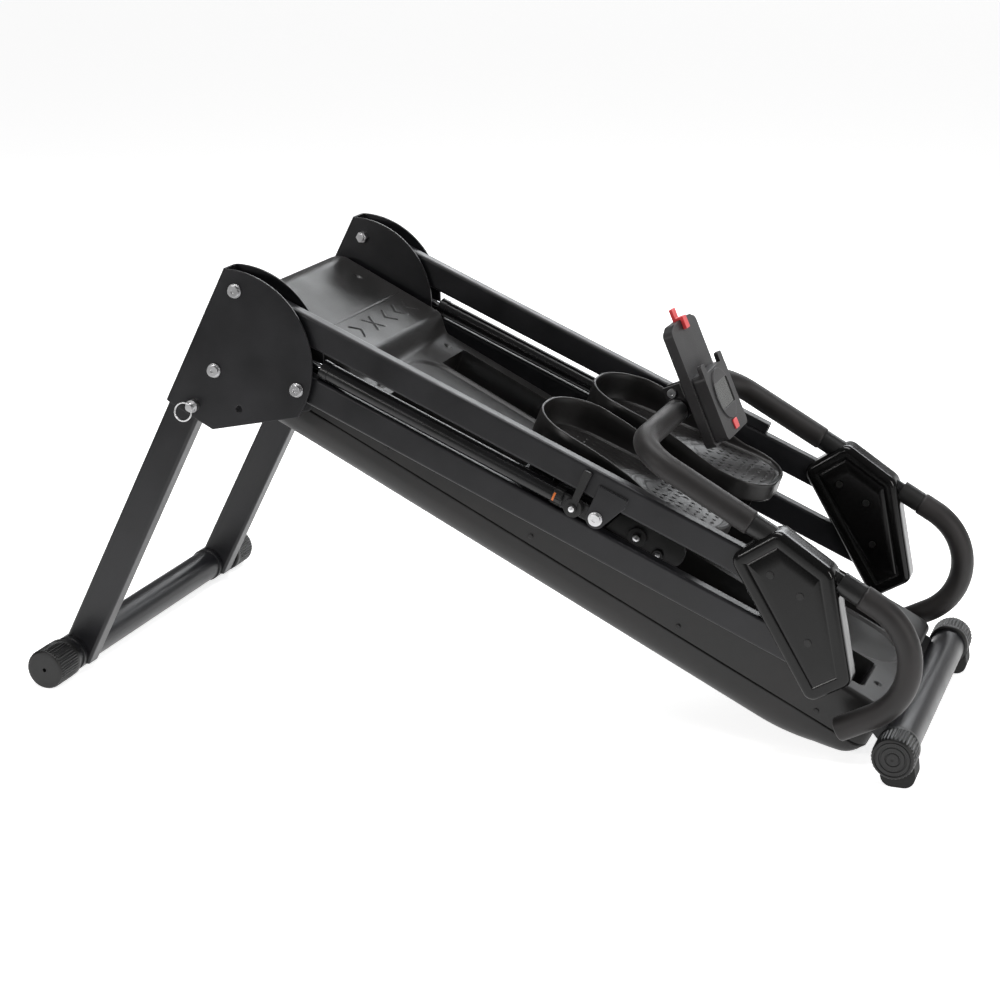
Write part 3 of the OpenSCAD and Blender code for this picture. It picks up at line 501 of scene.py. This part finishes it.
# The mouth, where the arm rails run in, is the side between the second and third corners.
mouth_start = np.array([505, 103])
mouth_way = np.array([391 - 505, 297 - 103]) / math.hypot(114, 194)
mouth_length = 236
skirt_depth = 9.8
head_across = 215
head_half_width = 21.5
# Each ring of the shell, from inside the wall over the rim: how far in from the outline, and how far below
# the outer face.
cover_rings = [(20, 2.2), (8, 2.2), (3, 2.6), (2.2, 4.0), (2.2, 12), (2.2, 21.3), (0, 21.4), (0, 15), (0, 9),
               (0.2, 7.4), (0.8, 5.4), (1.9, 3.5), (3.4, 1.9), (5.2, 0.8), (7.2, 0.2), (9, 0), (14, 0), (17, 0),
               (17.7, 0.3), (18.5, 0.95), (19.4, 1.15), (20.3, 0.95), (21.1, 0.3), (21.8, 0)]
for side_name, side in (("left", -1), ("right", 1)):
    for half_name, out in (("outer", side), ("inner", -side)):
        rings = []
        for inset, below in cover_rings:
            ring = rounded_outline(inner_corners(head_corners, inset), head_radii - inset)
            # The wall at the mouth is cut back to a short skirt.
            along_mouth = (ring - mouth_start) @ mouth_way
            from_mouth = (ring - mouth_start) @ np.array([mouth_way[1], -mouth_way[0]])
            open_wall = (np.abs(from_mouth) < 9) & (along_mouth > -10) & (along_mouth < mouth_length)
            depth = np.where(open_wall, np.minimum(below, skirt_depth), below)
            face_y = side * head_across + out * (head_half_width - depth)
            rings.append(np.stack([ring[:, 0], face_y, ring[:, 1]], 1))
        # Both faces are closed by rings that shrink to their middles.
        first_ring, last_ring = rings[0], rings[-1]
        inner_middle, middle = first_ring.mean(0), last_ring.mean(0)
        rings += [middle + (last_ring - middle) * share for share in (0.75, 0.5, 0.25, 0.06, 0.0)]
        rings = [inner_middle + (first_ring - inner_middle) * share for share in (0.0, 0.5)] + rings
        shell_points = np.array(rings) / 1000
        if out > 0:
            shell_points = shell_points[:, ::-1]
        shell = skin(f"{side_name}_{half_name}_cover", shell_points, gloss_cover, wrap_columns=True, smooth=60)
        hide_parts(f"{side_name}_head_{half_name}")
        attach(shell, "head")


# ---- Pedals: deep moulded foot trays with a raised toe cup that falls away to a low heel lip, a dimpled
# sole with a few raised chevrons, and two lugs below that take the toe hinge.
def pedal_outline(inset):
    """Plan of the pedal, in by inset on all sides: a wide round toe and a slightly narrower heel."""
    corners = [(inset, -79 + inset), (308 - inset, -73 + inset), (308 - inset, 73 - inset), (inset, 79 - inset)]
    return rounded_outline(corners, np.array([72, 60, 60, 72]) - inset, arc=34, run=52)


def pedal_points(rim):
    """Rings of the pedal, each as its inset, its height, and its share of the wall's height at that place."""
    rings = []
    for inset, low, share in rim:
        plan = pedal_outline(inset)
        top = np.interp(plan[:, 0], [0, 60, 100, 130, 160, 200, 230, 270, 308],
                        [44, 43, 39, 34.5, 28, 16, 9, 6.5, 5])
        rings.append(np.stack([plan[:, 0], plan[:, 1], low + share * top], 1))
    return rings


def sole_relief(plan):
    """Height of the sole: rows of small pits, and four raised chevrons under the ball of the foot."""
    x, y = plan[:, 0], plan[:, 1]
    pit_x = (x + 6) % 13 - 6.5
    pit_y = (y + 6.5 + 6.5 * (np.floor((x + 6) / 13) % 2)) % 13 - 6.5
    pits = -1.8 * np.clip(1.5 - np.hypot(pit_x, pit_y) / 1.7, 0, 1)
    arrow = x - 0.75 * np.abs(y)
    on_ridges = (np.abs(y) < 24) & (arrow > 122) & (arrow < 173)
    ridge = np.clip(1.6 - np.abs((arrow - 126) % 17 - 8.5) / 1.5, 0, 1) * on_ridges
    return np.where((arrow > 116) & (arrow < 179) & (np.abs(y) < 30), 0.9 * ridge, pits)


hinge_from_toe = 40
sole_above_hinge = 16
pedal_shift = 0.096
sole_insets = np.arange(12.5, 71.5, 1.1)
sole_rows = len(sole_insets)
pedal_under = [(70, -4, 0), (40, -4, 0), (12, -4, 0)]
pedal_rim = [(4.0, -3.8, 0), (4.0, -12, 0), (3.6, -21.6, 0), (2.6, -22, 0), (1.2, -22, 0), (0.2, -21, 0),
             (0, -19, 0), (0, -10, 0), (0, -2, 0), (0, -1.8, 0.5), (0, -1.6, 1), (0.5, -0.5, 1), (1.4, 0, 1),
             (2.6, 0, 1), (3.5, -0.5, 1), (4, -1.6, 1), (4, -1.5, 0.8), (4, 0, 0.4), (4.2, 2.4, 0),
             (4.9, 1.0, 0), (6.5, 0.2, 0), (9, 0, 0), (9.6, -0.7, 0), (10.6, -0.7, 0), (11.2, 0, 0)]
lug_turn = np.linspace(0, 2 * math.pi, 48, endpoint=False)
lug_x = 9 * np.cos(lug_turn)
lug_z = np.where(np.sin(lug_turn) > 0, np.minimum(30 * np.sin(lug_turn), 12.5), 9 * np.sin(lug_turn))
lug_profile = [(0.58, -5), (0.94, -5), (1, -4.4), (1, 4.4), (0.94, 5), (0.58, 5)]
for side_name, side, pin, slope in (("left", -1, (103.25, 380.53), 21.5), ("right", 1, (119.9, 372.2), 18.0)):
    rings = pedal_points(pedal_under) + pedal_points(pedal_rim)
    for inset in sole_insets:
        plan = pedal_outline(inset)
        rings.append(np.stack([plan[:, 0], plan[:, 1], sole_relief(plan)], 1))
    # The first and last rings close on the pedal's middle line.
    rings.append(rings[-1].copy())
    for closing in (rings[0], rings[-1]):
        closing[:, 1] = 0
    points = np.array(rings)
    points[..., 0] -= hinge_from_toe
    points[..., 2] += sole_above_hinge
    place = sloped(pin, slope, points)
    place[..., 1] += side * pedal_shift
    pedal = skin(side_name + "_foot_tray", place, pedal_plastic, wrap_columns=True, smooth=55)
    # Painted shade: the sole's pits are darkened by their depth.
    hollow = np.zeros(points.shape[:2])
    sole = slice(-sole_rows - 1, -1)
    hollow[sole] = np.clip((sole_above_hinge - points[sole, :, 2]) / 1.5, 0, 1)
    mark_hollows(pedal, hollow)
    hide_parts(side_name + "_pedal")
    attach(pedal, side_name + "_pedal")
    for lug_name, lug in (("a", -9), ("b", 9)):
        local = np.array([np.stack([lug_x * k, np.full(48, lug + w), lug_z * k], 1) for k, w in lug_profile])
        lug_place = sloped(pin, slope, local)
        lug_place[..., 1] += side * pedal_shift
        lug_piece = skin(f"{side_name}_toe_lug_{lug_name}", lug_place, pedal_plastic,
                         wrap_columns=True, wrap_rows=True)
        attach(lug_piece, side_name + "_pedal")
        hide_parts(side_name + "_pedal")


# ---- Deck: one moulding that closes the tray, with a ramp at the top end, a sunk channel for each
# pedal, a rounded rib between them, raised chevrons on the ramp and a lip that laps the lower shell.
deck_holes = ((-176, 128, 3.6), (0, 128, 3.6), (813, 115, 3.2))
half_width = 178


def channel_depth(u, y):
    """Depth of the pedal channels: a rounded rectangle on each side, 58 mm deep, its wall eased over 2.4 mm."""
    from_middle = np.abs(np.abs(y) - 105)
    half_u, half_y, r = 387.5, 43, 5
    du = np.abs(u - 407.5) - (half_u - r)
    dy = from_middle - (half_y - r)
    outside = np.hypot(np.clip(du, 0, None), np.clip(dy, 0, None)) + np.minimum(np.maximum(du, dy), 0) - r
    t = np.clip((0.4 - outside) / 2.4, 0, 1)
    return 58 * t * t * (3 - 2 * t)


def ramp_height(u):
    """Height of the deck's middle line: a flat ramp, an eased fall to the channels' level, a rounded top end."""
    t = np.clip((u + 50) / 32, 0, 1)
    fall = 23.8 * (1 - t * t * (3 - 2 * t))
    lip = np.clip(-215 - u, 0, 35)
    return fall - 1.8 * np.clip((-48 - u) / 200, 0, 1) - (35 - np.sqrt(35.0 ** 2 - lip ** 2))


def deck_marks(u, y):
    """A raised cross with three chevrons to each side of it, a fine groove before them, and small round holes."""
    reach = u + 85
    cross = np.minimum(np.abs(y - 0.87 * reach), np.abs(y + 0.87 * reach)) / 1.33
    stroke = np.where(np.abs(y) < 30, cross, 99)
    for point in (43, 81, 120):
        stroke = np.minimum(stroke, np.abs(np.abs(y) - point - 1.15 * np.abs(reach)) / 1.52)
    raised = 1.3 * np.clip(1.8 - stroke / 0.8, 0, 1) * np.clip((15.5 - np.abs(reach)) / 1.2, 0, 1)
    groove = -0.8 * np.clip(1.5 - np.abs(u + 114), 0, 1) * (np.abs(y) < 160)
    beyond = np.where(u > 765, np.hypot(u - 765, y), np.where(u < 46, np.hypot(u - 46, y), np.abs(y)))
    rings = -3.2 * np.clip((56 - beyond) / 2.5, 0, 1)
    holes = 0
    for hole_u, hole_y, hole_r in deck_holes:
        holes = holes - 5 * np.clip((hole_r + 0.8 - np.hypot(u - hole_u, np.abs(y) - hole_y)) / 1.4, 0, 1)
    return raised + groove + rings + holes


def drawn_in(u):
    """Share of the full width left at the low end, where the tray's corners are quarter circles of 24 mm."""
    return 1 - (24 - np.sqrt(24.0 ** 2 - np.clip(u - 817, 0, 23.9) ** 2)) / half_width


def end_ring(grid, row, height, along=None):
    """Copy of the grid's row moved to one height, which closes its end down to the joint of deck and shell."""
    ring = grid[row:row + 1 or None].copy()
    ring[..., 2] = height
    if along is not None:
        ring[..., 0] = along
    return ring


deck_bottom = -65.6
deck_u = np.concatenate([np.arange(-250, -215, 3.0), np.arange(-215, -116.5, 3.5), np.arange(-116.5, -48, 1.0),
                         np.arange(-48, 30, 2.5), np.arange(30, 715, 7.0), np.arange(715, 839, 2.5),
                         [839.5, 840.6]])
edge = np.linspace(0, math.pi / 2, 7)
channel_walls = [np.arange(start, start + 10, 1.0) for start in (-66, -154, 56, 144)]
inner_y = np.unique(np.concatenate([np.arange(-170, 170.1, 2.5), *channel_walls]))[1:-1]
flat = np.zeros(len(inner_y))
deck_y = np.concatenate([[-178, -178, -178], -170 - 8 * np.cos(edge), inner_y, 170 + 8 * np.sin(edge),
                         [178, 178, 178]])
deck_drop = np.concatenate([[1.0, 0.7, 0.3], 0 * edge, flat, 0 * edge, [0.3, 0.7, 1.0]])
deck_round = np.concatenate([[8, 8, 8], 8 - 8 * np.sin(edge), flat, 8 - 8 * np.cos(edge), [8, 8, 8]])
U, Y = np.meshgrid(deck_u, deck_y, indexing="ij")
Y = Y * drawn_in(U)
end_round = np.clip(U - 837, 0, 4) ** 2 * 0.2
top = ramp_height(U) - deck_round - end_round
top = np.where(deck_round == 0, top + deck_marks(U, Y) - channel_depth(U, Y), top)
level = top * (1 - deck_drop) + deck_bottom * deck_drop
deck_local = np.stack([U, Y, level], -1)
deck_points = sloped(tray_origin, tray_slope, np.concatenate([
    end_ring(deck_local, 0, deck_bottom), deck_local, end_ring(deck_local, -1, deck_bottom, 840.9)]))
deck = skin("deck_skin", deck_points, deck_plastic, smooth=60)
# Painted shade: the deck's small round holes are darkened inside.
hole_depth = np.zeros(deck_points.shape[:2])
for hole_u, hole_y, hole_r in deck_holes:
    hole_depth[1:-1] += np.clip((hole_r + 0.6 - np.hypot(U - hole_u, np.abs(Y) - hole_y)) / 1.2, 0, 1)
mark_hollows(deck, hole_depth)
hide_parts("deck_cover")
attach(deck, "root")


# ---- Lower shell: a thin trough under the deck, straight below, then bent up to run level along the
# floor at the low end. Its bottom edges are rounded, and a shadow gap shows where the deck laps it.
def belly(u):
    """Level of the shell's bottom against the tray's slope: an arc of 300 mm, then level with the floor."""
    arc = 178 - np.sqrt(np.clip(300.0 ** 2 - np.clip(u - 695.4, 0, 133.9) ** 2, 0, None))
    return arc + np.clip(u - 829.3, 0, None) * math.tan(math.radians(tray_slope))


shell_u = np.concatenate([[-249.8], np.arange(-249, 690, 12.0), np.arange(690, 841, 4.0), [840.8]])
turn = np.linspace(0, math.pi / 2, 14)
end_rise = 30 - np.sqrt(30.0 ** 2 - np.clip(shell_u - 811, 0, 29.5) ** 2)
bottom = np.minimum(belly(shell_u) + end_rise, -70)[:, None]
corner_r = np.minimum(40, (-66.6 - bottom) * 0.92)
lip_y = np.broadcast_to([-172, -176.6, -178, -178], (len(shell_u), 4))
lip_z = np.broadcast_to([-66.8, -66.8, -68.2, -69.5], (len(shell_u), 4))
left_y = np.concatenate([lip_y, -half_width + corner_r * (1 - np.cos(turn))], 1)
left_z = np.concatenate([lip_z, bottom + corner_r * (1 - np.sin(turn))], 1)
flat_y = np.linspace(-1, 1, 9)[1:-1] * (half_width - corner_r)
shell_y = np.concatenate([left_y, flat_y, -left_y[:, ::-1]], 1) * drawn_in(shell_u)[:, None]
shell_z = np.concatenate([left_z, np.broadcast_to(bottom, flat_y.shape), left_z[:, ::-1]], 1)
shell_local = np.stack([np.broadcast_to(shell_u[:, None], shell_y.shape), shell_y, shell_z], -1)
shell_points = sloped(tray_origin, tray_slope, np.concatenate([
    end_ring(shell_local, 0, -68), shell_local, end_ring(shell_local, -1, -68)]))
lower_shell = skin("lower_shell", shell_points[:, ::-1], deck_plastic, smooth=50)
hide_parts("tray_shell")
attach(lower_shell, "root")


# ---- Visible screw heads: zinc plated domes pressed into the carriage side frames and the valve levers,
# and the orange mark that shows each damper's setting.
def dome_head(name, place, radius, height, side, body):
    """Quarter ellipse turned about the screw's axis; a pinhole is left at its top."""
    climb = np.linspace(0, math.pi / 2, 9)
    turn = np.linspace(0, 2 * math.pi, 32, endpoint=False)
    r = radius * np.cos(climb * 0.96)[:, None]
    up = np.broadcast_to(height * np.sin(climb)[:, None], (9, 32))
    ring = np.stack([place[0] + r * np.cos(side * turn), place[1] + side * up,
                     place[2] + r * np.sin(side * turn)], -1)
    head = skin(name, ring / 1000, zinc_plate, wrap_columns=True)
    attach(head, body)


orange_mark = finish_of("orange_mark", (0.5, 0.12, 0.02), (0.6, 0.16, 0.03), 0.4, 0.5, 0.5, 0.05, 0)
damper_eye = (205, 329)
damper_angle = math.atan2(524.5 - 329, 205 + 253.5)
damper_across = 215
dial_radius = 14.25
for side_name, side in (("left", -1), ("right", 1)):
    # The right carriage stands further down the tray than the left one.
    shift = side * 9.3
    for label, along_tray, above, proud, radius in (("a", 438.3, 19, 163.2, 5.4), ("b", 475, 12, 159.2, 4.2)):
        spot = sloped(tray_origin, tray_slope, np.array([along_tray + shift, 0, above])) * 1000
        dome_head(f"{side_name}_carriage_screw_{label}", (spot[0], side * proud, spot[2]), radius, 2.6, side,
                  side_name + "_carriage")
    lever_x = damper_eye[0] - 34 * math.cos(damper_angle)
    lever_z = damper_eye[1] + 34 * math.sin(damper_angle)
    dome_head(side_name + "_lever_screw", (lever_x, side * 239.05, lever_z), 4.2, 1.6, side,
              side_name + "_valve_lever")
    arc, out = np.meshgrid(np.linspace(-0.45, 0.45, 15), np.linspace(66.4, 63.4, 4), indexing="ij")
    lift = dial_radius * np.sin(arc)
    mark_x = damper_eye[0] - out * math.cos(damper_angle) + lift * math.sin(damper_angle)
    mark_y = side * (damper_across + dial_radius * np.cos(arc))
    mark_z = damper_eye[1] + out * math.sin(damper_angle) + lift * math.cos(damper_angle)
    mark_points = np.stack([mark_x, mark_y, mark_z], -1) / 1000
    mark = skin(side_name + "_dial_mark", mark_points if side < 0 else mark_points[::-1], orange_mark)
    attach(mark, side_name + "_dial")
